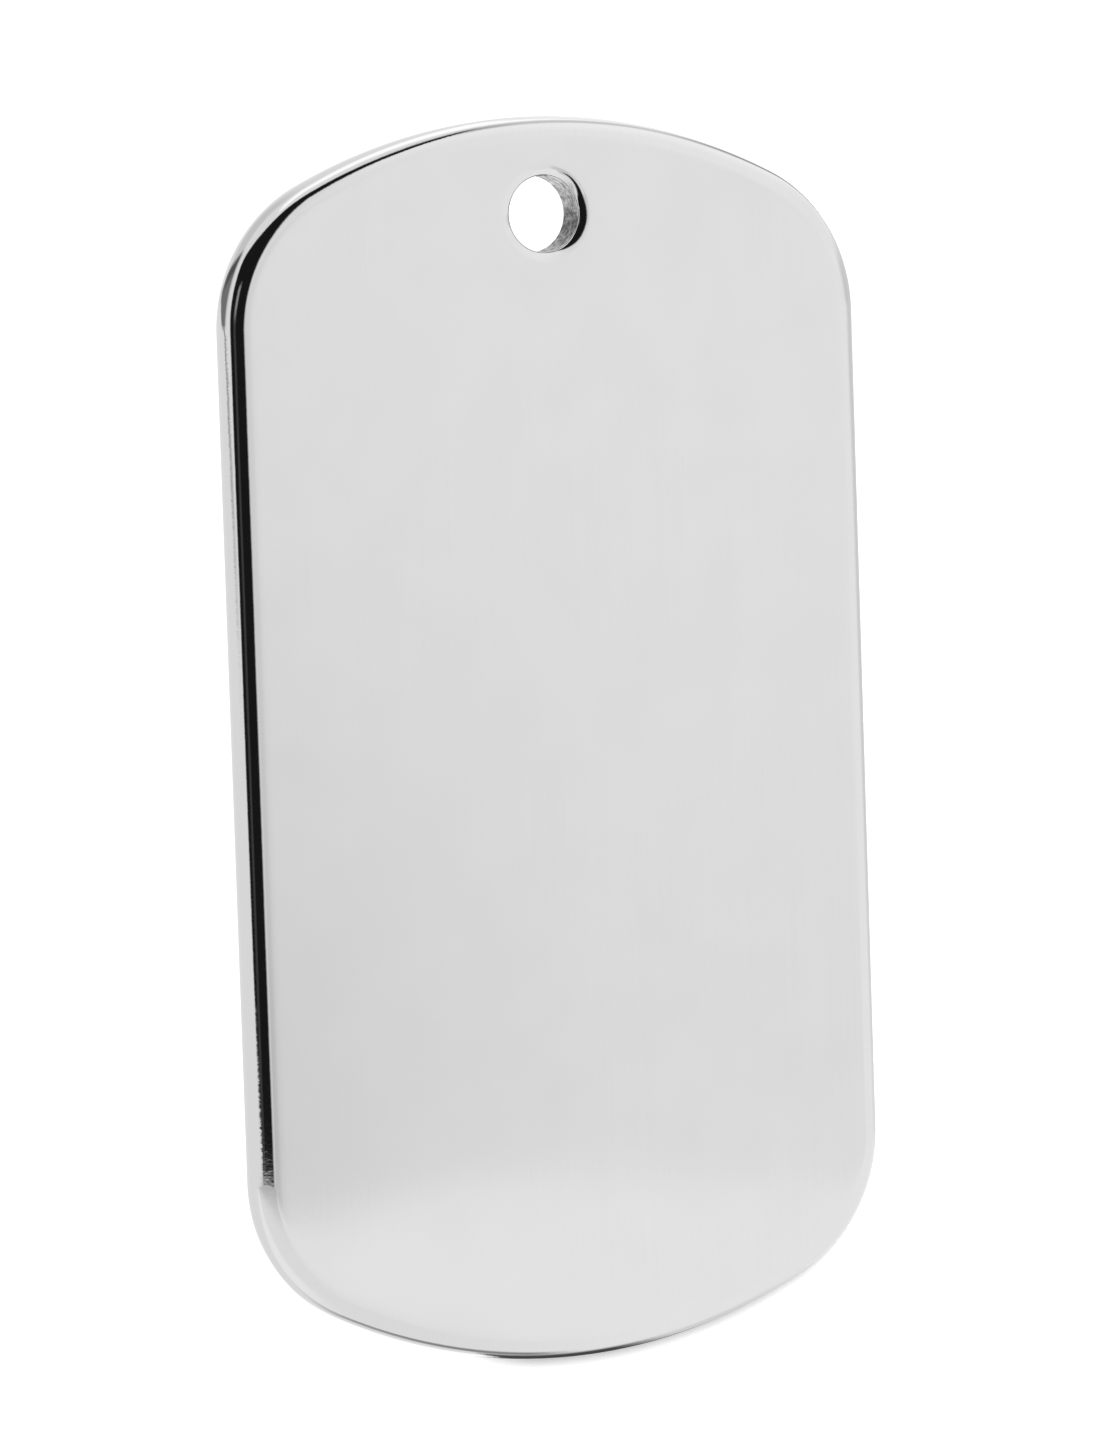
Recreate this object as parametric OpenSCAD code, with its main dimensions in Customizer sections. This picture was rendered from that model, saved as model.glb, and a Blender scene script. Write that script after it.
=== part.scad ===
// Identification tag: one flat plate with straight sides, four corner arcs and two shallow end arcs.
// The rim is rounded all the way round, at the front and at the back, and one hole near the top end
// takes a ball chain or a small ring.
// The plate lies on its back. The origin is the middle of the back face, +Z goes through the thickness
// to the front face, +Y points to the end with the hole, and +X is the right of the front face.
// All lengths are in millimetres.

/* [Plate] */
// Length over the two round ends
tag_length = 50; // [34:0.5:80]
// Width over the straight sides
tag_width = 28; // [20:0.5:42]
// Thickness of the plate
plate_thickness = 1.8; // [1:0.1:3]

/* [Outline] */
// Radius of the shallow arc across each end
end_radius = 23.4; // [18:0.2:60]
// Radius of the arc at each corner
corner_radius = 6.4; // [2:0.2:12]

/* [Rim] */
// Radius of the polished rounding along the rim, at the front and at the back
rim_radius = 0.8; // [0.1:0.05:1.2]

/* [Hole] */
// Diameter of the hole's straight wall
hole_diameter = 3.05; // [1.5:0.05:5]
// Distance from the top end of the plate to the centre of the hole
hole_from_end = 3.9; // [3.5:0.1:12]
// Radius of the softened edge at both mouths of the hole
hole_mouth_radius = 0.3; // [0.1:0.05:0.5]

/* [Hidden] */
$fn = 180;

// Flat wall that stays between the front and the back rounding, on a thin plate too
least_wall = 0.1;
// How far a cutting space stands out of the plate's faces
cut_over = 1;

// The roundings as made: the two of an edge never take more than the thickness has
rim_r = min(rim_radius, (plate_thickness - least_wall) / 2);
mouth_r = min(hole_mouth_radius, (plate_thickness - least_wall) / 2);

// Distance of an end arc's centre from the middle of the plate, towards its own end
end_y = tag_length / 2 - end_radius;
// Centre of a corner arc, which is tangent to the straight side and to the end arc
corner_x = tag_width / 2 - corner_radius;
corner_y = end_y + sqrt(pow(end_radius - corner_radius, 2) - pow(corner_x, 2));
// Angle that the outline turns through in a corner arc
corner_turn = atan2(corner_y - end_y, corner_x);

hole_r = hole_diameter / 2;
hole_y = tag_length / 2 - hole_from_end;

// Half of the plate's section, from its middle line out to the rounded rim at x = reach
module half_section(reach) {
    square([reach - rim_r, plate_thickness]);
    translate([0, rim_r])
        square([reach, plate_thickness - 2 * rim_r]);
    for (z = [rim_r, plate_thickness - rim_r])
        translate([reach - rim_r, z])
            circle(rim_r);
}

// A round plate with the rounded rim: what lies behind one arc of the outline
module round_plate(radius) {
    rotate_extrude()
        half_section(radius);
}

// A bar with the rounded rim along its two sides, longer than the plate
module straight_plate() {
    translate([0, tag_length, 0])
        rotate([90, 0, 0])
            linear_extrude(2 * tag_length)
                for (side = [0, 1])
                    mirror([side, 0])
                        half_section(tag_width / 2);
}

// Moves its children to the centre of a corner arc. The move has three steps, whole millimetres, whole
// microns and the rest, so that it keeps all its digits and the arcs meet the outline exactly.
module at_corner() {
    centre = [corner_x, corner_y, 0];
    whole = [for (c = centre) floor(c)];
    microns = [for (c = centre - whole) floor(1000 * c) / 1000];
    translate(whole)
        translate(microns)
            translate(centre - whole - microns)
                children();
}

// The wedge of space that one corner arc turns through, taller than the plate
module corner_space() {
    at_corner()
        translate([0, 0, -cut_over])
            linear_extrude(plate_thickness + 2 * cut_over)
                polygon([
                    [0, 0],
                    [tag_width, 0],
                    [tag_width, tag_width * tan(corner_turn)],
                ]);
}

// The plate behind one corner arc
module corner_part() {
    intersection() {
        at_corner()
            round_plate(corner_radius);
        corner_space();
    }
}

// The half of the plate towards the top end, without what lies behind its two corner arcs
module half_plate() {
    difference() {
        intersection() {
            straight_plate();
            translate([0, end_y, 0])
                round_plate(end_radius);
            translate([-tag_width, 0, -cut_over])
                cube([2 * tag_width, tag_length, plate_thickness + 2 * cut_over]);
        }
        for (side = [0, 1])
            mirror([side, 0, 0])
                corner_space();
    }
}

// What the hole takes away: its straight wall and the softened mouth at each face
module hole_space() {
    translate([0, hole_y, 0])
        rotate_extrude() {
            translate([0, -cut_over])
                square([hole_r, plate_thickness + 2 * cut_over]);
            difference() {
                for (z = [-cut_over, plate_thickness - mouth_r])
                    translate([0, z])
                        square([hole_r + mouth_r, cut_over + mouth_r]);
                for (z = [mouth_r, plate_thickness - mouth_r])
                    translate([hole_r + mouth_r, z])
                        circle(mouth_r);
            }
        }
}

// The whole plate: two mirrored halves, each with its two corner parts, and the hole
module tag_plate() {
    color([0.82, 0.83, 0.84])
        difference() {
            for (turned = [0, 1])
                mirror([0, turned, 0]) {
                    half_plate();
                    for (side = [0, 1])
                        mirror([side, 0, 0])
                            corner_part();
                }
            hole_space();
        }
}

tag_plate();
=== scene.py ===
from collections import namedtuple
from math import atan2, cos, pi, radians, sin, sqrt

import bmesh
import bpy
from mathutils import Matrix, Vector


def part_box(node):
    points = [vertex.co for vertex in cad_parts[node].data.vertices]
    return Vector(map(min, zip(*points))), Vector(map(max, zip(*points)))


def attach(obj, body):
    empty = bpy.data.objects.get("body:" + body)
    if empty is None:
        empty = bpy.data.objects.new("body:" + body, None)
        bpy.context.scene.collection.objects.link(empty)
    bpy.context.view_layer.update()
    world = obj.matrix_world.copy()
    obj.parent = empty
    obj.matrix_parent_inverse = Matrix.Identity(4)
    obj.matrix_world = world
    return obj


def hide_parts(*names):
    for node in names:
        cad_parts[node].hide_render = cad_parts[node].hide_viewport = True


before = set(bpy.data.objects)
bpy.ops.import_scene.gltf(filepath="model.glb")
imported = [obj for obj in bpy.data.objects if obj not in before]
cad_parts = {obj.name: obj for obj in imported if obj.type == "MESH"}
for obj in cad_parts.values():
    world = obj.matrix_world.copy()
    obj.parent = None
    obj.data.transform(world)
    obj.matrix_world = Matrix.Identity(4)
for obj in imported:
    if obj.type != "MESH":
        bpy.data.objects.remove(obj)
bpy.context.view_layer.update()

MM = 0.001
# Points nearer than this are one point
MERGE = 0.001 * MM

# The plate, as in the part's source
plate_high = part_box("tag_plate")[1]
HALF_WIDTH = plate_high.x
HALF_LENGTH = plate_high.y
THICKNESS = plate_high.z
END_RADIUS = 23.4 * MM
CORNER_RADIUS = 6.4 * MM
HOLE_FROM_END = 3.9 * MM
HOLE_RADIUS = 1.525 * MM

# Where the arcs of the outline have their centres, and how far each one turns
END_Y = HALF_LENGTH - END_RADIUS
CORNER_X = HALF_WIDTH - CORNER_RADIUS
CORNER_Y = END_Y + sqrt((END_RADIUS - CORNER_RADIUS) ** 2 - CORNER_X ** 2)
CORNER_TURN = atan2(CORNER_Y - END_Y, CORNER_X)
HOLE_Y = HALF_LENGTH - HOLE_FROM_END

# The rim's section. Polishing leaves the face a little lower near the edge, and leaves a narrow shoulder
# there. A soft crease then starts the rounding, which is wide at first and tighter towards the side wall.
PILLOW_WIDTH = 0.26 * MM
PILLOW_TURN = radians(0.5)
SHOULDER_WIDTH = 0.22 * MM
SHOULDER_TURN = radians(3)
ROUNDING_WIDTH = 0.832 * MM
CREASE_RADIUS = 0.14 * MM
CREASE_TURN = radians(16)
WIDE_RADIUS = 1.3 * MM
WIDE_TURN = radians(52)

# The hole's section: the face dips towards the mouth, which is rounded down to the wall
MOUTH_WIDTH = 0.4 * MM
DIP_WIDTH = 0.66 * MM
DIP_TURN = radians(1.2)
MOUTH_CREASE_RADIUS = 0.05 * MM
MOUTH_WIDE_RADIUS = 1.2 * MM
MOUTH_WIDE_TURN = radians(33)

# Steps of each arc
PILLOW_STEPS = 5
CREASE_STEPS = 5
WIDE_STEPS = 20
TIGHT_STEPS = 22
CORNER_STEPS = 72
END_STEPS = 30
MOUTH_STEPS = 12
HOLE_STEPS = 144

# Which faces get which finish: satin ones lean less than this from level, and rough ones in the hole lean
# less than this from upright. Then the finishes' places in the list of materials.
SATIN_LEAN = radians(6)
ROUGH_LEAN = radians(8)
SATIN, MIRROR, ROUGH = range(3)

# The camera: the plate's place in front of it and the turns that bring the plate there
CAMERA_LENS = 185.87
CAMERA_DISTANCE = 300 * MM
CAMERA_SHIFT_X = 0.389 * MM
CAMERA_SHIFT_Y = -0.6442 * MM
CAMERA_PITCH = 0.0753
CAMERA_YAW = 0.4458
CAMERA_ROLL = 0.0328

# Light of the plain white surroundings, and the key light's strength, size and turns
WHITE = (1, 1, 1, 1)
WHITE_LIGHT = 1.05
KEY_LIGHT = 3.6
KEY_SIZE = radians(30)
KEY_TURN = (radians(-24), radians(-14), 0)

# The table top: its radius, its grey and its glow where it is matt, and its light where it is plain white,
# which on the left and under the hole is painted light that hides the plate's shadow
TABLE_RADIUS = 6
TABLE_GREY = (0.8, 0.8, 0.8, 1)
TABLE_GLOW = 0.42
TABLE_BRIGHT = 1.3
# How far from the plate's middle the table takes a shadow
SHADOW_REACH = 45 * MM

# The white card beyond the lower end: its radius, the width of its soft edge, its place and its light
CARD_RADIUS = 90 * MM
CARD_FADE = 10 * MM
CARD_PLACE = (-3 * MM, -26 * MM, 0)
CARD_LIGHT = (1.04, 1.15)
# How far the card reaches from its place, against how far to the right it is, both in millimetres
CARD_REACH = [
    (-100, 60), (-84, 68), (-76, 77), (-68, 82), (-48, 79.5), (-23, 73), (-5, 66), (9, 58), (14, 62.5),
    (20, 69), (26, 70.5), (31, 69), (37, 66.5), (44, 67), (100, 67)]

# The values and the results of every curve lie between this and its negative
CURVE_LIMIT = 100

# The edges of the studio's dark opening, in degrees. For the right and left edge across goes with along, and
# for the top and low edge along goes with across.
OPENING_RIGHT = [
    (-100, -12), (-42, -11), (-32, -7), (-24, 4), (-17, 12), (-12, 14.2), (0, 13.3), (14, 11.2), (27, 8.4),
    (40, 5), (48, 0), (54, -6), (60, -17), (66, -36), (70, -58), (74, -90), (100, -100)]
OPENING_TOP = [
    (-100, 66), (-70, 71), (-45, 72.5), (-16, 69), (0, 66), (10, 63), (24, 58), (40, 50), (56, 43),
    (66, 36), (100, 10)]
OPENING_LEFT = [(-100, 60), (-11, 60), (-8, 52), (-7, 60), (-5, 62), (0, 63), (100, 62)]
OPENING_LOW = [(-100, -38), (-10, -37), (2, -34), (18, -29), (34, -24), (60, -19), (100, -19)]
# Half the width of the opening's soft edges, on the right and elsewhere, and the light inside it
RIGHT_SOFTNESS = 3.5
EDGE_SOFTNESS = 2.5
OPENING_LIGHT = 0.012

# Lines in the studio, in degrees. For the lamp in the opening, the broad line on the right and the thin one
# on the left, across goes with along. For the top of the dim corner, along goes with across. The shifts keep
# the curves inside their limit: one is added to the right line's across, one is taken from the corner's.
LAMP_LINE = [(-100, 47), (6, 46.5), (14, 45), (20, 44), (100, 44)]
RIGHT_LINE = [
    (-100, -92), (-12, -92), (-7, -88), (-5, -83), (-2, -76), (-1, -70), (4, -62), (16, -80), (40, -100),
    (100, -100)]
RIGHT_SHIFT = 20
LEFT_LINE = [(-100, 60), (-5, 67), (-4, 70), (-2, 77), (-1, 84), (0, 90), (100, 90)]
CORNER_TOP = [(-100, 42), (24, 42), (40, 41), (55, 36), (80, 26), (100, 12)]
CORNER_SHIFT = 60

# The planes that the bright strip over the top lies between, each by the direction square to it
STRIP_LINE = (0.68, -0.34, 0.646)
STRIP_START = (0.577, -0.143, 0.804)

# A direction that the steel looks in: the vector, its three parts, and its two angles in degrees
Direction = namedtuple("Direction", "where x y z across along")


def run_on(bm, last, move):
    """Adds a straight edge to the end of a chain and returns the chain's new last vertex."""
    new = bmesh.ops.extrude_vert_indiv(bm, verts=[last])["verts"][0]
    bmesh.ops.translate(bm, verts=[new], vec=move)
    return new


def bend_on(bm, last, radius, start, end, steps, side=1):
    """Adds an arc to a chain in the plane of x and z. Its outward normal turns from start to end, measured
    from +Z towards +X, or towards -X with side -1."""
    normal = Vector((side * sin(start), 0, cos(start)))
    made = bmesh.ops.spin(
        bm, geom=[last], cent=last.co - radius * normal, axis=(0, side, 0),
        angle=end - start, steps=steps, use_merge=False, use_duplicate=False)
    return made["geom_last"][0]


def rim_section(bm):
    """The chain from the front face over the rim to the middle of the side wall."""
    rim_start = HALF_WIDTH - ROUNDING_WIDTH
    pillow_radius = PILLOW_WIDTH / sin(PILLOW_TURN)
    shoulder_radius = SHOULDER_WIDTH / (sin(SHOULDER_TURN) - sin(PILLOW_TURN))
    last = bm.verts.new((rim_start - SHOULDER_WIDTH - PILLOW_WIDTH, 0, THICKNESS))
    last = bend_on(bm, last, pillow_radius, 0, PILLOW_TURN, PILLOW_STEPS)
    last = bend_on(bm, last, shoulder_radius, PILLOW_TURN, SHOULDER_TURN, PILLOW_STEPS)
    last = bend_on(bm, last, CREASE_RADIUS, SHOULDER_TURN, CREASE_TURN, CREASE_STEPS)
    last = bend_on(bm, last, WIDE_RADIUS, CREASE_TURN, WIDE_TURN, WIDE_STEPS)
    tight_radius = (HALF_WIDTH - last.co.x) / (1 - sin(WIDE_TURN))
    last = bend_on(bm, last, tight_radius, WIDE_TURN, pi / 2, TIGHT_STEPS)
    run_on(bm, last, (0, 0, THICKNESS / 2 - last.co.z))


def mouth_section(bm):
    """The chain from the front face over the hole's mouth to the middle of its wall."""
    mouth_start = HOLE_RADIUS + MOUTH_WIDTH
    dip_radius = DIP_WIDTH / sin(DIP_TURN)
    last = bm.verts.new((mouth_start + DIP_WIDTH, 0, THICKNESS))
    last = bend_on(bm, last, dip_radius, 0, DIP_TURN, PILLOW_STEPS, side=-1)
    last = bend_on(bm, last, MOUTH_CREASE_RADIUS, DIP_TURN, CREASE_TURN, CREASE_STEPS, side=-1)
    last = bend_on(bm, last, MOUTH_WIDE_RADIUS, CREASE_TURN, MOUTH_WIDE_TURN, MOUTH_STEPS, side=-1)
    tight_radius = (last.co.x - HOLE_RADIUS) / (1 - sin(MOUTH_WIDE_TURN))
    last = bend_on(bm, last, tight_radius, MOUTH_WIDE_TURN, pi / 2, MOUTH_STEPS, side=-1)
    run_on(bm, last, (0, 0, THICKNESS / 2 - last.co.z))


def sweep(bm, section, centre, angle, steps):
    """Spins a section round an upright axis and returns the new last section."""
    made = bmesh.ops.spin(
        bm, geom=section, cent=centre, axis=(0, 0, 1), angle=angle, steps=steps,
        use_merge=False, use_duplicate=False)
    return made["geom_last"]


def mirror_all(bm, axis):
    """Mirrors everything across the plane through the origin that is square to an axis."""
    bmesh.ops.mirror(
        bm, geom=bm.verts[:] + bm.edges[:] + bm.faces[:], matrix=Matrix(), merge_dist=MERGE, axis=axis)


def add_rim(bm):
    """A quarter of the rim is swept along the straight side, the corner arc and the end arc, then
    mirrored."""
    rim_section(bm)
    first = bm.verts[:] + bm.edges[:]
    grown = bmesh.ops.extrude_edge_only(bm, edges=bm.edges[:])["geom"]
    section = [part for part in grown if not isinstance(part, bmesh.types.BMFace)]
    section = [part for part in section if part not in first]
    moved = [part for part in section if isinstance(part, bmesh.types.BMVert)]
    bmesh.ops.translate(bm, verts=moved, vec=(0, CORNER_Y, 0))
    section = [part for part in section if isinstance(part, bmesh.types.BMVert) or
               all(vert in moved for vert in part.verts)]
    section = sweep(bm, section, (CORNER_X, CORNER_Y, 0), CORNER_TURN, CORNER_STEPS)
    sweep(bm, section, (0, END_Y, 0), pi / 2 - CORNER_TURN, END_STEPS)
    mirror_all(bm, "X")
    mirror_all(bm, "Y")


def add_hole(bm):
    """The hole's mouth and wall, spun in full round the hole's axis."""
    old = set(bm.verts)
    mouth_section(bm)
    verts = [vert for vert in bm.verts if vert not in old]
    edges = [edge for edge in bm.edges if all(vert not in old for vert in edge.verts)]
    bmesh.ops.translate(bm, verts=verts, vec=(0, HOLE_Y, 0))
    bmesh.ops.spin(
        bm, geom=verts + edges, cent=(0, HOLE_Y, 0), axis=(0, 0, 1), angle=2 * pi, steps=HOLE_STEPS,
        use_merge=True, use_duplicate=False)


def add_face(bm):
    """The flat face between the rim and the hole."""
    loops = [edge for edge in bm.edges if edge.is_boundary and
             all(vert.co.z > THICKNESS - MERGE for vert in edge.verts)]
    bmesh.ops.triangle_fill(bm, edges=loops, use_beauty=True, use_dissolve=False, normal=(0, 0, 1))


def edge_place(point, left, low):
    """A point's place along the outline and its distance in from it, on the left or the low half."""
    x = abs(point.x)
    y = abs(point.y)
    turn = atan2(y - CORNER_Y, x - CORNER_X)
    corner_run = CORNER_Y + CORNER_RADIUS * CORNER_TURN
    quarter = corner_run + END_RADIUS * (pi / 2 - CORNER_TURN)
    if y < CORNER_Y:
        run = y
        inward = HALF_WIDTH - x
    elif turn < CORNER_TURN:
        run = CORNER_Y + CORNER_RADIUS * turn
        inward = CORNER_RADIUS - Vector((x - CORNER_X, y - CORNER_Y)).length
    else:
        run = corner_run + END_RADIUS * (atan2(y - END_Y, x) - CORNER_TURN)
        inward = END_RADIUS - Vector((x, y - END_Y)).length
    if low:
        run = -run
    if left:
        run = 2 * quarter - run
    return run, inward


def in_hole(point):
    """Whether a point lies on the hole's wall or on one of its mouths."""
    return Vector((point.x, point.y - HOLE_Y)).length < HOLE_RADIUS + MOUTH_WIDTH


def lay_pattern(bm):
    """A UV map in metres. On the rim u runs along the outline, and in the hole round it; v runs across."""
    uv = bm.loops.layers.uv.new("along_edge")
    for face in bm.faces:
        middle = face.calc_center_median()
        side = 1 if middle.z > THICKNESS / 2 else -1
        spoke = Vector((middle.x, middle.y - HOLE_Y))
        for loop in face.loops:
            point = loop.vert.co
            if in_hole(middle):
                arm = Vector((point.x, point.y - HOLE_Y))
                run = HOLE_RADIUS * (atan2(spoke.y, spoke.x) - spoke.angle_signed(arm, 0))
                inward = arm.length
            else:
                run, inward = edge_place(point, middle.x < 0, middle.y < 0)
            loop[uv].uv = (run, point.z + side * inward)


def build_plate():
    """The whole plate: the front half is made first and mirrored for the back."""
    bm = bmesh.new()
    add_rim(bm)
    add_hole(bm)
    add_face(bm)
    bmesh.ops.translate(bm, verts=bm.verts, vec=(0, 0, -THICKNESS / 2))
    mirror_all(bm, "Z")
    bmesh.ops.translate(bm, verts=bm.verts, vec=(0, 0, THICKNESS / 2))
    bmesh.ops.remove_doubles(bm, verts=bm.verts, dist=MERGE)
    bmesh.ops.recalc_face_normals(bm, faces=bm.faces)
    lay_pattern(bm)
    for face in bm.faces:
        face.smooth = True
        middle = face.calc_center_median()
        if abs(face.normal.z) > cos(SATIN_LEAN):
            face.material_index = SATIN
        elif in_hole(middle) and abs(face.normal.z) < sin(ROUGH_LEAN):
            face.material_index = ROUGH
        else:
            face.material_index = MIRROR
    mesh = bpy.data.meshes.new("polished_plate")
    bm.to_mesh(mesh)
    bm.free()
    plate = bpy.data.objects.new("polished_plate", mesh)
    bpy.context.scene.collection.objects.link(plate)
    return plate


def add(tree, kind, inputs=None, **settings):
    """Adds a node. An input's value is a number, a colour, a vector or a socket to link."""
    node = tree.nodes.new(kind)
    for name, value in settings.items():
        setattr(node, name, value)
    for key, value in (inputs or {}).items():
        if isinstance(value, bpy.types.NodeSocket):
            tree.links.new(value, node.inputs[key])
        else:
            node.inputs[key].default_value = value
    return node


def calc(tree, operation, *values):
    """One step of arithmetic on numbers or sockets."""
    return add(tree, "ShaderNodeMath", dict(enumerate(values)), operation=operation).outputs[0]


def ramp(tree, value, start, end, low=0.0, high=1.0):
    """Goes softly from low to high while the value goes from start to end."""
    node = add(tree, "ShaderNodeMapRange", {
        "Value": value, "From Min": start, "From Max": end, "To Min": low, "To Max": high,
    }, interpolation_type="SMOOTHSTEP")
    return node.outputs["Result"]


def curve(tree, value, points):
    """A smooth curve through points of (value, result)."""
    unit = 0.5 / CURVE_LIMIT
    scaled = calc(tree, "MULTIPLY_ADD", value, unit, 0.5)
    node = add(tree, "ShaderNodeFloatCurve", {"Value": scaled})
    line = node.mapping.curves[0]
    ends = (points[0], points[-1])
    for place, (x, y) in zip(line.points, ends):
        place.location = (x * unit + 0.5, y * unit + 0.5)
    for x, y in points[1:-1]:
        line.points.new(x * unit + 0.5, y * unit + 0.5)
    node.mapping.update()
    return calc(tree, "MULTIPLY_ADD", node.outputs["Value"], 2 * CURVE_LIMIT, -CURVE_LIMIT)


def blend(tree, share, first, second):
    """A number that goes from first to second as share goes from 0 to 1."""
    node = add(tree, "ShaderNodeMix", {0: share, 2: first, 3: second}, data_type="FLOAT")
    return node.outputs[0]


def product(tree, *masks):
    """Several masks made one."""
    result = masks[0]
    for mask in masks[1:]:
        result = calc(tree, "MULTIPLY", result, mask)
    return result


def near(tree, value, middle, outer, inner):
    """1 close to the middle value, and 0 further from it than the outer distance."""
    off = calc(tree, "ABSOLUTE", calc(tree, "SUBTRACT", value, middle))
    return ramp(tree, off, outer, inner)


def dim(tree, light, mask, share):
    """Takes a share of the light away where the mask is 1."""
    taken = calc(tree, "MULTIPLY", mask, share)
    return calc(tree, "MULTIPLY", light, calc(tree, "SUBTRACT", 1, taken))


def above_plane(tree, where, normal):
    """How far a direction points out of a plane through the middle of the studio."""
    node = add(tree, "ShaderNodeVectorMath", {0: where, 1: normal}, operation="DOT_PRODUCT")
    return node.outputs["Value"]


def past(tree, value, points, other):
    """How far one value lies past a curve that another value drives."""
    return calc(tree, "SUBTRACT", value, curve(tree, other, points))


def studio_opening(tree, way):
    """The dark opening of the studio, where the camera stands: its mask, and the light inside it."""
    opening = product(
        tree,
        ramp(tree, past(tree, way.across, OPENING_RIGHT, way.along), -RIGHT_SOFTNESS, RIGHT_SOFTNESS),
        ramp(tree, past(tree, way.along, OPENING_TOP, way.across), EDGE_SOFTNESS, -EDGE_SOFTNESS),
        ramp(tree, past(tree, way.across, OPENING_LEFT, way.along), EDGE_SOFTNESS, -EDGE_SOFTNESS),
        ramp(tree, past(tree, way.along, OPENING_LOW, way.across), -EDGE_SOFTNESS, EDGE_SOFTNESS))
    # A dim lamp inside gives the thin grey line in the rim
    lamp_line = curve(tree, way.along, LAMP_LINE)
    lamp = product(tree, near(tree, way.across, lamp_line, 6, 1), ramp(tree, way.along, 22, 18))
    lamp_light = ramp(tree, way.along, 2, 12, 0.05, 0.36)
    return opening, calc(tree, "MULTIPLY_ADD", lamp, lamp_light, OPENING_LIGHT)


def light_top(tree, walls, way, past_line):
    """The bright strip over the top, and the faint line before it that goes down on the right."""
    x, y = way.x, way.y
    past_start = above_plane(tree, way.where, STRIP_START)
    strip_end = ramp(tree, x, 0.30, 0.44, -0.43, -0.39)
    before_end = calc(tree, "SUBTRACT", past_line, strip_end)
    strip = product(
        tree, ramp(tree, past_start, 0.07, -0.05), ramp(tree, before_end, 0.0, 0.13),
        ramp(tree, x, -0.36, -0.26), ramp(tree, x, 0.68, 0.54), ramp(tree, y, 0.0, 0.3))
    outer = product(tree, ramp(tree, x, 0.32, 0.40), ramp(tree, way.z, -0.2, -0.34))
    walls = blend(tree, strip, walls, blend(tree, outer, 1.5, 1.24))
    line = product(
        tree, near(tree, past_line, -0.01, 0.11, 0.02), ramp(tree, y, 0.05, 0.25),
        ramp(tree, x, 0.22, 0.30))
    walls = dim(tree, walls, line, ramp(tree, x, 0.30, 0.42, 0.5, 0.27))
    patch = product(
        tree, near(tree, past_line, -0.06, 0.2, 0.04), ramp(tree, x, 0.61, 0.72),
        ramp(tree, y, -0.02, 0.18))
    return dim(tree, walls, patch, 0.72)


def light_right(tree, walls, way):
    """A faint broad line on the right."""
    x, y = way.x, way.y
    right = product(tree, ramp(tree, x, 0.3, 0.6), ramp(tree, y, 0.28, 0.12), ramp(tree, y, -0.25, -0.1))
    shifted = calc(tree, "ADD", way.across, RIGHT_SHIFT)
    past_right = past(tree, shifted, RIGHT_LINE, way.along)
    line = product(
        tree, right, ramp(tree, past_right, 14, -10), ramp(tree, past_right, -75, -35),
        ramp(tree, way.along, -14, -4))
    return dim(tree, walls, line, 0.26)


def light_left(tree, walls, way):
    """A dim corner far behind on the left, and a thin line that comes down from it."""
    across, along = way.across, way.along
    corner_top = curve(tree, calc(tree, "SUBTRACT", across, CORNER_SHIFT), CORNER_TOP)
    under_top = calc(tree, "SUBTRACT", corner_top, along)
    over_bottom = calc(tree, "SUBTRACT", along, ramp(tree, across, 104, 140, 2, 10))
    corner = product(
        tree, ramp(tree, across, 73, 90), ramp(tree, across, 165, 150), ramp(tree, over_bottom, -2, 2),
        ramp(tree, under_top, -3, 3))
    core = product(
        tree, near(tree, under_top, 7, 8, 2), ramp(tree, across, 82, 97), ramp(tree, across, 146, 128))
    walls = blend(tree, corner, walls, blend(tree, core, 0.235, 0.11))
    line_place = curve(tree, along, LEFT_LINE)
    line = product(
        tree, near(tree, across, line_place, 9, 1), ramp(tree, along, -4.5, -0.5), ramp(tree, along, 4, 0))
    return dim(tree, walls, line, 0.68)


def light_low(tree, walls, way):
    """Low down, beyond the plate's lower end: a dim line, and a bright and a dark place side by side."""
    x, y, z = way.x, way.y, way.z
    slope = ramp(tree, x, 0.05, 0.5, 0.02, -0.06)
    line = product(
        tree, near(tree, z, slope, 0.17, 0.03), ramp(tree, x, -0.5, 0.25), ramp(tree, x, 0.44, 0.34),
        ramp(tree, y, -0.5, -0.75))
    walls = dim(tree, walls, line, 0.7)
    side = calc(tree, "MULTIPLY_ADD", z, 0.16, x)
    bright = product(
        tree, ramp(tree, side, 0.246, 0.212), ramp(tree, z, -0.25, -0.5), ramp(tree, y, 0.0, -0.2),
        ramp(tree, x, -0.3, 0.0))
    walls = blend(tree, bright, walls, 1.48)
    dark = product(
        tree, ramp(tree, side, 0.212, 0.246), ramp(tree, x, 0.56, 0.47, 0.22, 1.0),
        ramp(tree, x, 0.74, 0.6), ramp(tree, z, -0.04, -0.30), ramp(tree, y, -0.17, -0.36))
    return blend(tree, dark, walls, ramp(tree, y, -0.5, -0.15, 0.08, 0.2))


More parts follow.
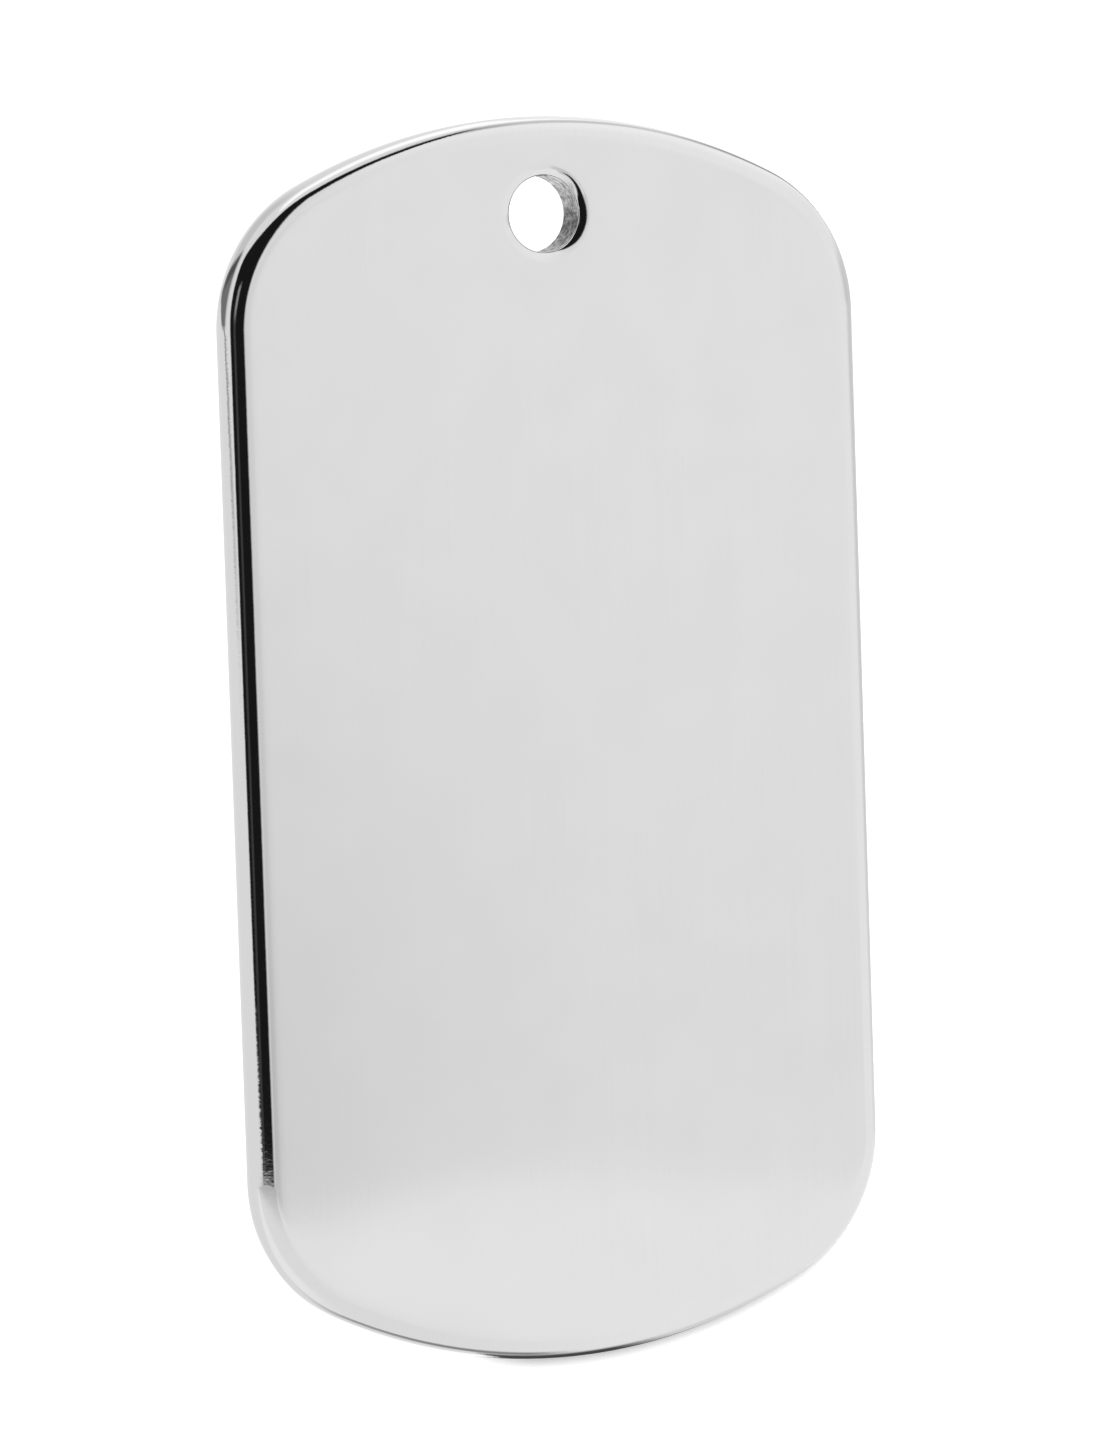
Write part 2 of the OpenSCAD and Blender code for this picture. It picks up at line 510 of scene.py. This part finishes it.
def light_face(tree, walls, way, past_line):
    """What the flat face mirrors: a wall that gets dimmer to the lower left and softly dim beside the dark
    opening, and a little lighter towards the hole's end."""
    across, along, x = way.across, way.along, way.x
    shade = product(
        tree, ramp(tree, across, -27.8, -21), ramp(tree, along, -0.5, -8.5), ramp(tree, across, 0, -12))
    walls = dim(tree, walls, shade, 0.22)
    shade = product(
        tree, ramp(tree, across, -25.5, -28), ramp(tree, along, 0.0, 1.2), ramp(tree, along, 9, 2))
    walls = dim(tree, walls, shade, 0.03)
    shade = product(
        tree, ramp(tree, across, -25.5, -28), ramp(tree, across, -50, -36), ramp(tree, along, -2, -7))
    walls = dim(tree, walls, shade, 0.045)
    beside = product(
        tree, ramp(tree, across, -23.6, -19.6), ramp(tree, across, 20, 8), ramp(tree, along, 14, 2),
        ramp(tree, along, -16, -11))
    walls = dim(tree, walls, beside, ramp(tree, along, -4, -9, 0.12, 0.22))
    beside = product(
        tree, ramp(tree, across, -22, -16), ramp(tree, across, 4, -3), ramp(tree, along, -10, -14),
        ramp(tree, along, -28, -19))
    walls = dim(tree, walls, beside, 0.12)
    lighter = product(
        tree, ramp(tree, along, 0.8, 3.5), ramp(tree, along, 16, 8), ramp(tree, across, -22, -25))
    walls = dim(tree, walls, lighter, -0.02)
    lighter = product(
        tree, ramp(tree, along, 15, 35), ramp(tree, past_line, 0.0, 0.1), ramp(tree, x, 0.06, 0.16),
        ramp(tree, x, 0.95, 0.75))
    return dim(tree, walls, lighter, ramp(tree, past_line, 0.5, 0.12, -0.025, -0.11))


def studio_walls(tree, way):
    """The light of the white walls, with their lighter and dimmer places. Each place is a product of soft
    ramps over the direction's parts and angles, and is given the share of the light that it takes."""
    walls = ramp(tree, way.x, 0.0, 0.6, 1.02, 1.13)
    behind = product(
        tree, ramp(tree, way.x, 0.05, -0.35), ramp(tree, way.y, 0.3, 0.6), ramp(tree, way.z, 0.15, -0.05))
    walls = dim(tree, walls, behind, 0.22)
    past_line = above_plane(tree, way.where, STRIP_LINE)
    walls = light_top(tree, walls, way, past_line)
    walls = light_right(tree, walls, way)
    walls = light_left(tree, walls, way)
    walls = light_low(tree, walls, way)
    return light_face(tree, walls, way, past_line)


def studio_direction(tree):
    """The direction that the steel looks in. Across is its angle from straight up towards the plate's left,
    and along its angle towards the end with the hole."""
    where = add(tree, "ShaderNodeTexCoord").outputs["Generated"]
    x, y, z = add(tree, "ShaderNodeSeparateXYZ", {0: where}).outputs
    to_degrees = 180 / pi
    leftward = calc(tree, "MULTIPLY", x, -1)
    across = calc(tree, "MULTIPLY", calc(tree, "ARCTAN2", leftward, z), to_degrees)
    along = calc(tree, "MULTIPLY", calc(tree, "ARCSINE", y), to_degrees)
    return Direction(where, x, y, z, across, along)


def build_world():
    """White studio walls with one dark opening above the plate, to its left, where the camera stands."""
    world = bpy.data.worlds.new("white_studio")
    bpy.context.scene.world = world
    world.use_nodes = True
    tree = world.node_tree
    tree.nodes.clear()
    way = studio_direction(tree)
    opening, inside = studio_opening(tree, way)
    light = blend(tree, opening, studio_walls(tree, way), inside)

    # Only what the steel mirrors shows the studio. The camera sees plain white.
    mirrored = add(tree, "ShaderNodeLightPath").outputs["Is Glossy Ray"]
    studio = add(tree, "ShaderNodeBackground", {"Strength": light, "Color": WHITE}).outputs[0]
    white = add(tree, "ShaderNodeBackground", {"Strength": WHITE_LIGHT, "Color": WHITE}).outputs[0]
    both = add(tree, "ShaderNodeMixShader", {0: mirrored, 1: white, 2: studio}).outputs[0]
    add(tree, "ShaderNodeOutputWorld", {"Surface": both})
    world.cycles.sampling_method = "NONE"
    world.cycles_visibility.diffuse = False


def stage_disc(name, radius, segments):
    """A flat disc of the stage on the ground, without a material."""
    bm = bmesh.new()
    bmesh.ops.create_circle(bm, cap_ends=True, cap_tris=False, segments=segments, radius=radius)
    mesh = bpy.data.meshes.new(name)
    bm.to_mesh(mesh)
    bm.free()
    disc = bpy.data.objects.new(name, mesh)
    bpy.context.scene.collection.objects.link(disc)
    return disc


def new_material(name):
    """A new material and its empty tree."""
    material = bpy.data.materials.new(name)
    material.use_nodes = True
    tree = material.node_tree
    tree.nodes.clear()
    return material, tree


def build_floor():
    """A wide white table top. Near the plate it is matt with an even glow, and takes the plate's soft
    shadow.
    Further out it glows plain bright white. On the left and under the plate's hole it glows as brightly,
    painted light that hides the plate's shadow there."""
    floor = stage_disc("table_top", TABLE_RADIUS, 96)
    material, tree = new_material("white_table")
    place = add(tree, "ShaderNodeTexCoord").outputs["Object"]
    out = add(tree, "ShaderNodeVectorMath", {0: place}, operation="LENGTH").outputs["Value"]
    far = ramp(tree, out, SHADOW_REACH * 0.8, SHADOW_REACH)
    # Painted light: on the left and under the hole the table glows as bright as far out, which hides the
    # plate's shadow there
    from_hole = add(tree, "ShaderNodeVectorMath", {0: place, 1: (0, HOLE_Y, 0)}, operation="DISTANCE")
    painted_light_under_hole = ramp(tree, from_hole.outputs["Value"], HOLE_RADIUS * 1.2, HOLE_RADIUS * 1.1)
    sideways = add(tree, "ShaderNodeSeparateXYZ", {0: place}).outputs["X"]
    left = ramp(tree, sideways, -1 * MM, -6 * MM)
    bright = calc(tree, "MAXIMUM", calc(tree, "MAXIMUM", far, left), painted_light_under_hole)
    matt = add(tree, "ShaderNodeBsdfDiffuse", {"Color": TABLE_GREY}).outputs[0]
    glow = add(tree, "ShaderNodeEmission", {"Strength": TABLE_GLOW, "Color": WHITE}).outputs[0]
    lit = add(tree, "ShaderNodeAddShader", {0: matt, 1: glow}).outputs[0]
    plain = add(tree, "ShaderNodeEmission", {"Strength": TABLE_BRIGHT, "Color": WHITE}).outputs[0]
    both = add(tree, "ShaderNodeMixShader", {0: bright, 1: lit, 2: plain}).outputs[0]
    add(tree, "ShaderNodeOutputMaterial", {"Surface": both})
    floor.data.materials.append(material)
    floor.visible_glossy = False


def build_card():
    """A white half disc that stands square to the table beyond the plate's lower end. Only the steel mirrors
    it, as the plate in the photograph mirrors the table in front of it."""
    card = stage_disc("white_card", CARD_RADIUS, 128)
    card.data.transform(Matrix.Rotation(pi / 2, 4, "X"))
    card.data.transform(Matrix.Translation(CARD_PLACE))
    material, tree = new_material("white_card")
    place = add(tree, "ShaderNodeTexCoord").outputs["Object"]
    axes = add(tree, "ShaderNodeSeparateXYZ", {0: place}).outputs
    above = calc(tree, "GREATER_THAN", axes["Z"], THICKNESS)
    out = add(tree, "ShaderNodeVectorMath", {0: place, 1: CARD_PLACE}, operation="DISTANCE")
    reach = curve(tree, calc(tree, "DIVIDE", axes["X"], MM), CARD_REACH)
    inside = calc(tree, "SUBTRACT", calc(tree, "MULTIPLY", reach, MM), out.outputs["Value"])
    solid = calc(tree, "MULTIPLY", above, ramp(tree, inside, 0.0, CARD_FADE))
    nothing = add(tree, "ShaderNodeBsdfTransparent").outputs[0]
    # On the left it is dimmer towards its edge, with a brighter line low down
    light = ramp(tree, axes["X"], -8 * MM, 6 * MM, *CARD_LIGHT)
    outer = product(
        tree, ramp(tree, axes["X"], -5 * MM, -25 * MM), ramp(tree, inside, 65 * MM, 10 * MM),
        ramp(tree, axes["Z"], 10 * MM, 34 * MM))
    light = dim(tree, light, outer, 0.36)
    slant = calc(tree, "MULTIPLY_ADD", axes["X"], 0.3, axes["Z"])
    line = product(
        tree, near(tree, slant, -1.7 * MM, 3.5 * MM, 1 * MM), ramp(tree, axes["X"], -9 * MM, -15 * MM))
    light = dim(tree, light, line, -0.12)
    glow = add(tree, "ShaderNodeEmission", {"Strength": light, "Color": WHITE}).outputs[0]
    both = add(tree, "ShaderNodeMixShader", {0: solid, 1: nothing, 2: glow}).outputs[0]
    add(tree, "ShaderNodeOutputMaterial", {"Surface": both})
    card.data.materials.append(material)
    card.visible_camera = False
    card.visible_diffuse = False
    card.visible_shadow = False
    card.visible_transmission = False


def build_lights():
    """A soft key light from the hole's end, a little from the left."""
    key = bpy.data.lights.new("key_light", "SUN")
    key.energy = KEY_LIGHT
    key.angle = KEY_SIZE
    key_object = bpy.data.objects.new("key_light", key)
    key_object.rotation_euler = KEY_TURN
    key_object.visible_glossy = False
    bpy.context.scene.collection.objects.link(key_object)


def build_camera():
    """The camera that sees the plate as the photograph does, from its upper left."""
    data = bpy.data.cameras.new("camera")
    data.lens = CAMERA_LENS
    camera = bpy.data.objects.new("camera", data)
    bpy.context.scene.collection.objects.link(camera)
    turn = (Matrix.Rotation(CAMERA_ROLL, 4, "Z") @ Matrix.Rotation(CAMERA_PITCH, 4, "X")
            @ Matrix.Rotation(CAMERA_YAW, 4, "Y"))
    place = Vector((CAMERA_SHIFT_X, CAMERA_SHIFT_Y, -CAMERA_DISTANCE))
    to_camera = Matrix.Translation(place) @ turn @ Matrix.Translation((0, 0, -THICKNESS))
    camera.matrix_world = to_camera.inverted()
    bpy.context.scene.camera = camera


def new_group(name, inputs, outputs):
    """A node group of the shader kind with the named sockets, and its inner input and output sockets."""
    group = bpy.data.node_groups.new(name, "ShaderNodeTree")
    for socket_name, kind in inputs:
        group.interface.new_socket(name=socket_name, in_out="INPUT", socket_type=kind)
    for socket_name, kind in outputs:
        group.interface.new_socket(name=socket_name, in_out="OUTPUT", socket_type=kind)
    given = group.nodes.new("NodeGroupInput").outputs
    result = group.nodes.new("NodeGroupOutput").inputs
    return group, given, result


def make_brush_marks():
    """Fine parallel marks of a polishing wheel. They lie close together in the vector's first direction and
    run on in the other two. Width is the width of a mark, and Length its length."""
    group, given, result = new_group(
        "brush_marks",
        [("Vector", "NodeSocketVector"), ("Width", "NodeSocketFloat"), ("Length", "NodeSocketFloat")],
        [("Height", "NodeSocketFloat")])
    close = calc(group, "DIVIDE", 1, given["Width"])
    wide = calc(group, "DIVIDE", 1, given["Length"])
    scale = add(group, "ShaderNodeCombineXYZ", {"X": close, "Y": wide, "Z": wide}).outputs[0]
    place = add(group, "ShaderNodeVectorMath", {0: given["Vector"], 1: scale}, operation="MULTIPLY")
    noise = add(group, "ShaderNodeTexNoise", {
        "Vector": place.outputs[0], "Scale": 1.0, "Detail": 3.0, "Roughness": 0.65})
    group.links.new(noise.outputs[0], result["Height"])
    return group


def make_soft_waves():
    """Soft hollows and swells that hand polishing leaves. Size is the distance between them."""
    group, given, result = new_group(
        "soft_waves", [("Vector", "NodeSocketVector"), ("Size", "NodeSocketFloat")],
        [("Height", "NodeSocketFloat")])
    scale = calc(group, "DIVIDE", 1, given["Size"])
    noise = add(group, "ShaderNodeTexNoise", {
        "Vector": given["Vector"], "Scale": scale, "Detail": 1.0, "Roughness": 0.4})
    group.links.new(noise.outputs[0], result["Height"])
    return group


def make_fine_grain():
    """Uneven places in the metal's finish. Size is the distance between them, and Contrast how sharply they
    stand out: the mask goes from 0 to 1 within one part in Contrast of the noise."""
    group, given, result = new_group(
        "fine_grain",
        [("Vector", "NodeSocketVector"), ("Size", "NodeSocketFloat"), ("Contrast", "NodeSocketFloat")],
        [("Mask", "NodeSocketFloat")])
    scale = calc(group, "DIVIDE", 1, given["Size"])
    noise = add(group, "ShaderNodeTexNoise", {
        "Vector": given["Vector"], "Scale": scale, "Detail": 4.0, "Roughness": 0.6}).outputs[0]
    centred = calc(group, "SUBTRACT", noise, 0.5)
    raised = calc(group, "MULTIPLY_ADD", centred, given["Contrast"], 0.5)
    mask = add(group, "ShaderNodeClamp", {"Value": raised}).outputs[0]
    group.links.new(mask, result["Mask"])
    return group


def placed(tree, group, inputs, output):
    """Places a group in a material and returns one of its outputs."""
    return add(tree, "ShaderNodeGroup", inputs, node_tree=group).outputs[output]


def grey(tree, share, dark, light):
    """A neutral grey that goes from dark to light."""
    node = add(tree, "ShaderNodeMix", {0: share, 6: (dark, dark, dark, 1), 7: (light, light, light, 1)},
               data_type="RGBA")
    return node.outputs[2]


def bump(tree, height, depth, under=None):
    """Turns a height from 0 to 1 into a normal, with the depth in metres, over another normal."""
    inputs = {"Height": height, "Distance": depth}
    if under is not None:
        inputs["Normal"] = under
    return add(tree, "ShaderNodeBump", inputs).outputs[0]


def steel(name):
    """A new material of bare steel, with its tree and its shader."""
    material, tree = new_material(name)
    shader = add(tree, "ShaderNodeBsdfPrincipled", {"Metallic": 1.0})
    add(tree, "ShaderNodeOutputMaterial", {"Surface": shader.outputs[0]})
    return material, tree, shader


def finish_steel(tree, shader, color, roughness, normal):
    """Feeds the shader of a steel material."""
    for value, socket in ((color, "Base Color"), (roughness, "Roughness"), (normal, "Normal")):
        tree.links.new(value, shader.inputs[socket])


def make_satin_steel(marks, waves, grain):
    """The faces: satin polished along the plate, with very fine marks and a soft unevenness."""
    material, tree, shader = steel("satin_steel")
    place = add(tree, "ShaderNodeTexCoord").outputs["Object"]
    fine = placed(tree, marks, {"Vector": place, "Width": 0.09 * MM, "Length": 6 * MM}, "Height")
    broad = placed(tree, marks, {"Vector": place, "Width": 0.7 * MM, "Length": 30 * MM}, "Height")
    specks = placed(tree, grain, {"Vector": place, "Size": 0.12 * MM, "Contrast": 3.0}, "Mask")
    swell = placed(tree, waves, {"Vector": place, "Size": 9 * MM}, "Height")
    patches = placed(tree, waves, {"Vector": place, "Size": 2.5 * MM}, "Height")
    streaks = calc(tree, "MULTIPLY_ADD", fine, 0.6, calc(tree, "MULTIPLY", broad, 0.4))
    strength = ramp(tree, swell, 0.4, 0.6, 0.2, 0.6)
    streaks = calc(tree, "MULTIPLY", calc(tree, "SUBTRACT", streaks, 0.5), strength)
    uneven = calc(tree, "ADD", streaks, calc(tree, "MULTIPLY", patches, 0.5))
    color = grey(tree, ramp(tree, uneven, 0.05, 0.45), 0.651, 0.668)
    roughness = ramp(tree, calc(tree, "ADD", specks, fine), 0.4, 1.6, 0.085, 0.12)
    normal = bump(tree, swell, 9e-6)
    normal = bump(tree, fine, 8e-8, normal)
    finish_steel(tree, shader, color, roughness, normal)
    return material


def make_mirror_steel(marks, waves, grain):
    """The rim and the hole's mouths: mirror polished, with slight ripples and fine marks across them."""
    material, tree, shader = steel("mirror_steel")
    coordinates = add(tree, "ShaderNodeTexCoord").outputs
    edge = coordinates["UV"]
    place = coordinates["Object"]
    fine = placed(tree, marks, {"Vector": edge, "Width": 0.09 * MM, "Length": 1.6 * MM}, "Height")
    ripple = placed(tree, marks, {"Vector": edge, "Width": 0.45 * MM, "Length": 0.9 * MM}, "Height")
    specks = placed(tree, grain, {"Vector": place, "Size": 0.1 * MM, "Contrast": 3.0}, "Mask")
    swell = placed(tree, waves, {"Vector": place, "Size": 4 * MM}, "Height")
    color = grey(tree, ramp(tree, fine, 0.35, 0.65), 0.657, 0.664)
    roughness = ramp(tree, specks, 0.0, 1.0, 0.035, 0.06)
    normal = bump(tree, swell, 1.2e-5)
    normal = bump(tree, ripple, 2e-6, normal)
    normal = bump(tree, fine, 8e-8, normal)
    finish_steel(tree, shader, color, roughness, normal)
    return material


def make_rough_steel(marks, waves, grain):
    """The hole's wall, left rough by the punch: mottled, with marks that run through the thickness, and with
    painted shade on the side towards the plate's lower end.
    """
    material, tree, shader = steel("rough_steel")
    coordinates = add(tree, "ShaderNodeTexCoord").outputs
    edge = coordinates["UV"]
    place = coordinates["Object"]
    score = placed(tree, marks, {"Vector": edge, "Width": 0.1 * MM, "Length": 0.5 * MM}, "Height")
    blotches = placed(tree, grain, {"Vector": place, "Size": 0.2 * MM, "Contrast": 3.0}, "Mask")
    swell = placed(tree, waves, {"Vector": place, "Size": 0.5 * MM}, "Height")
    mottle_and_shade = calc(tree, "MULTIPLY_ADD", blotches, 0.5, calc(tree, "MULTIPLY", score, 0.5))
    height = add(tree, "ShaderNodeSeparateXYZ", {0: place}).outputs["Y"]
    # Painted shade: the wall is darker in a band on its side towards the plate's lower end
    painted_shade = near(tree, height, HOLE_Y - 0.5 * MM, 1.1 * MM, 0.1 * MM)
    mottle_and_shade = calc(tree, "MULTIPLY_ADD", painted_shade, -0.3, mottle_and_shade)
    color = grey(tree, ramp(tree, mottle_and_shade, 0.0, 0.8), 0.13, 0.52)
    roughness = ramp(tree, blotches, 0.0, 1.0, 0.55, 0.4)
    normal = bump(tree, swell, 1.5e-5)
    normal = bump(tree, score, 4e-6, normal)
    finish_steel(tree, shader, color, roughness, normal)
    return material


build_camera()
build_world()
build_floor()
build_card()
build_lights()
plate = build_plate()
finishes = (make_brush_marks(), make_soft_waves(), make_fine_grain())
plate.data.materials.append(make_satin_steel(*finishes))
plate.data.materials.append(make_mirror_steel(*finishes))
plate.data.materials.append(make_rough_steel(*finishes))
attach(plate, "root")
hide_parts("tag_plate")

scene = bpy.context.scene
scene.view_settings.view_transform = "Standard"
scene.view_settings.look = "None"
